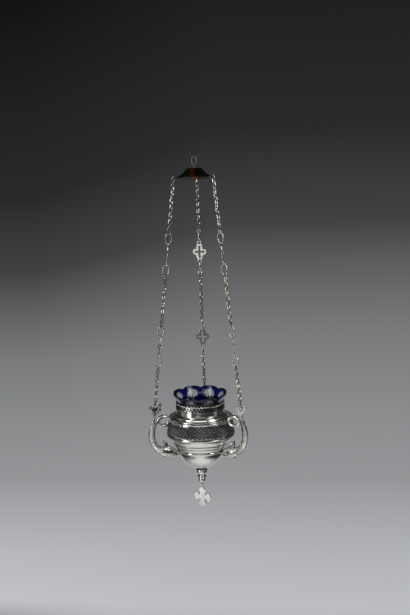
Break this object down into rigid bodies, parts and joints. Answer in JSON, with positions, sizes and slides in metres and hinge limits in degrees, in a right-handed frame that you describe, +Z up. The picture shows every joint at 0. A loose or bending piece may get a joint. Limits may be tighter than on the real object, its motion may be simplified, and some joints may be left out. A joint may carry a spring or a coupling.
{
  "type": "hanging oil lamp",
  "caption": "Hanging vigil oil lamp: pierced silver-plated bowl with blue glass, dolphin handles, chains with cross plaques, canopy, hook ring and pendant cross.",
  "frame": {"origin": "the point inside the top ring that a hook bears on", "axes": "+Z up along the line the lamp hangs in; +Y towards the back chain, +X to the right as seen from the front; the top ring lies in the XZ plane"},
  "size_m": [0.139, 0.13, 0.5115],
  "materials": {
    "silver": "silver plate, polished, a little worn",
    "dark_silver": "silver plate, darkened in its pierced work",
    "worn_brass": "brass showing through worn plating",
    "canopy_bronze": "dark tarnished plate, half polished",
    "cobalt_glass": "clear cobalt blue, glossy"
  },
  "bodies": {
    "top_ring": {"hanging_ring": "silver"},
    "stem": {"hook_stem": "silver", "stem_nut": "worn_brass"},
    "canopy": {"canopy": "canopy_bronze"},
    "chain_back": {"chain_back_upper_run": "worn_brass", "chain_back_ring_1": "silver", "chain_back_ring_2": "silver", "chain_back_middle_run": "worn_brass", "chain_back_ring_3": "silver", "chain_back_ring_4": "silver", "chain_back_lower_run": "worn_brass"},
    "plaque_back_1": {"chain_back_plaque_1": "silver"},
    "plaque_back_2": {"chain_back_plaque_2": "silver"},
    "chain_left": {"chain_left_upper_run": "worn_brass", "chain_left_ring_1": "silver", "chain_left_ring_2": "silver", "chain_left_middle_run": "worn_brass", "chain_left_ring_3": "silver", "chain_left_ring_4": "silver", "chain_left_lower_run": "worn_brass"},
    "plaque_left_1": {"chain_left_plaque_1": "silver"},
    "plaque_left_2": {"chain_left_plaque_2": "silver"},
    "chain_right": {"chain_right_upper_run": "worn_brass", "chain_right_ring_1": "silver", "chain_right_ring_2": "silver", "chain_right_middle_run": "worn_brass", "chain_right_ring_3": "silver", "chain_right_ring_4": "silver", "chain_right_lower_run": "worn_brass"},
    "plaque_right_1": {"chain_right_plaque_1": "silver"},
    "plaque_right_2": {"chain_right_plaque_2": "silver"},
    "lamp": {"neck_gallery": "silver", "shoulder": "silver", "belly_gallery": "dark_silver", "lower_bowl": "silver", "handle_back": "silver", "handle_rivet_back": "silver", "handle_screw_back": "silver", "handle_left": "silver", "handle_rivet_left": "silver", "handle_screw_left": "silver", "handle_right": "silver", "handle_rivet_right": "silver", "handle_screw_right": "silver", "finial_knob": "silver", "finial_ball": "silver", "finial_bolt": "silver", "finial_nut": "worn_brass"},
    "glass": {"oil_glass": "cobalt_glass"},
    "pendant_loop": {"pendant_loop": "silver"},
    "pendant_cross": {"pendant_cross": "silver"}
  },
  "joints": [
    {"name": "stem_swing", "type": "hinge", "parent": "top_ring", "child": "stem", "pos_m": [0, 0, -0.01245], "axis": [1, 0, 0], "range_deg": [-40, 40]},
    {"name": "canopy_turn", "type": "hinge", "parent": "stem", "child": "canopy", "pos_m": [0, 0, -0.016], "axis": [0, 0, 1], "continuous": true},
    {"name": "chain_back_sway", "type": "hinge", "parent": "canopy", "child": "chain_back", "pos_m": [0, 0.032, -0.0288], "axis": [1, 0, 0], "range_deg": [-8, 8]},
    {"name": "plaque_back_1_turn", "type": "hinge", "parent": "chain_back", "child": "plaque_back_1", "pos_m": [0, 0.04471, -0.13529], "axis": [0, -0.1185, 0.993], "range_deg": [-40, 40]},
    {"name": "plaque_back_2_turn", "type": "hinge", "parent": "chain_back", "child": "plaque_back_2", "pos_m": [0, 0.06023, -0.26532], "axis": [0, -0.1185, 0.993], "range_deg": [-40, 40]},
    {"name": "chain_left_sway", "type": "hinge", "parent": "canopy", "child": "chain_left", "pos_m": [-0.02771, -0.016, -0.0288], "axis": [1, 0, 0], "range_deg": [-8, 8]},
    {"name": "plaque_left_1_turn", "type": "hinge", "parent": "chain_left", "child": "plaque_left_1", "pos_m": [-0.03872, -0.02235, -0.13529], "axis": [0.1026, 0.0592, 0.993], "range_deg": [-18, 62]},
    {"name": "plaque_left_2_turn", "type": "hinge", "parent": "chain_left", "child": "plaque_left_2", "pos_m": [-0.05216, -0.03011, -0.26532], "axis": [0.1026, 0.0592, 0.993], "range_deg": [-30, 50]},
    {"name": "chain_right_sway", "type": "hinge", "parent": "canopy", "child": "chain_right", "pos_m": [0.02771, -0.016, -0.0288], "axis": [1, 0, 0], "range_deg": [-8, 8]},
    {"name": "plaque_right_1_turn", "type": "hinge", "parent": "chain_right", "child": "plaque_right_1", "pos_m": [0.03872, -0.02235, -0.13529], "axis": [-0.1026, 0.0592, 0.993], "range_deg": [-66, 14]},
    {"name": "plaque_right_2_turn", "type": "hinge", "parent": "chain_right", "child": "plaque_right_2", "pos_m": [0.05216, -0.03011, -0.26532], "axis": [-0.1026, 0.0592, 0.993], "range_deg": [-75, 5]},
    {"name": "lamp_tilt", "type": "hinge", "parent": "chain_back", "child": "lamp", "pos_m": [0, 0.07, -0.34724], "axis": [1, 0, 0], "range_deg": [-4, 4]},
    {"name": "glass_lift", "type": "slide", "parent": "lamp", "child": "glass", "axis": [0, 0, 1], "range_m": [0, 0.08]},
    {"name": "pendant_loop_swing", "type": "hinge", "parent": "lamp", "child": "pendant_loop", "pos_m": [0, 0, -0.47454], "axis": [0.3907, 0.9205, 0], "range_deg": [-45, 45]},
    {"name": "pendant_cross_swing", "type": "hinge", "parent": "pendant_loop", "child": "pendant_cross", "pos_m": [0, 0, -0.47909], "axis": [0.3907, 0.9205, 0], "range_deg": [-40, 40]}
  ],
  "couplings": [
    {"joint": "chain_left_sway", "follows": "chain_back_sway", "ratio": 1},
    {"joint": "chain_right_sway", "follows": "chain_back_sway", "ratio": 1},
    {"joint": "lamp_tilt", "follows": "chain_back_sway", "ratio": -0.45714}
  ]
}
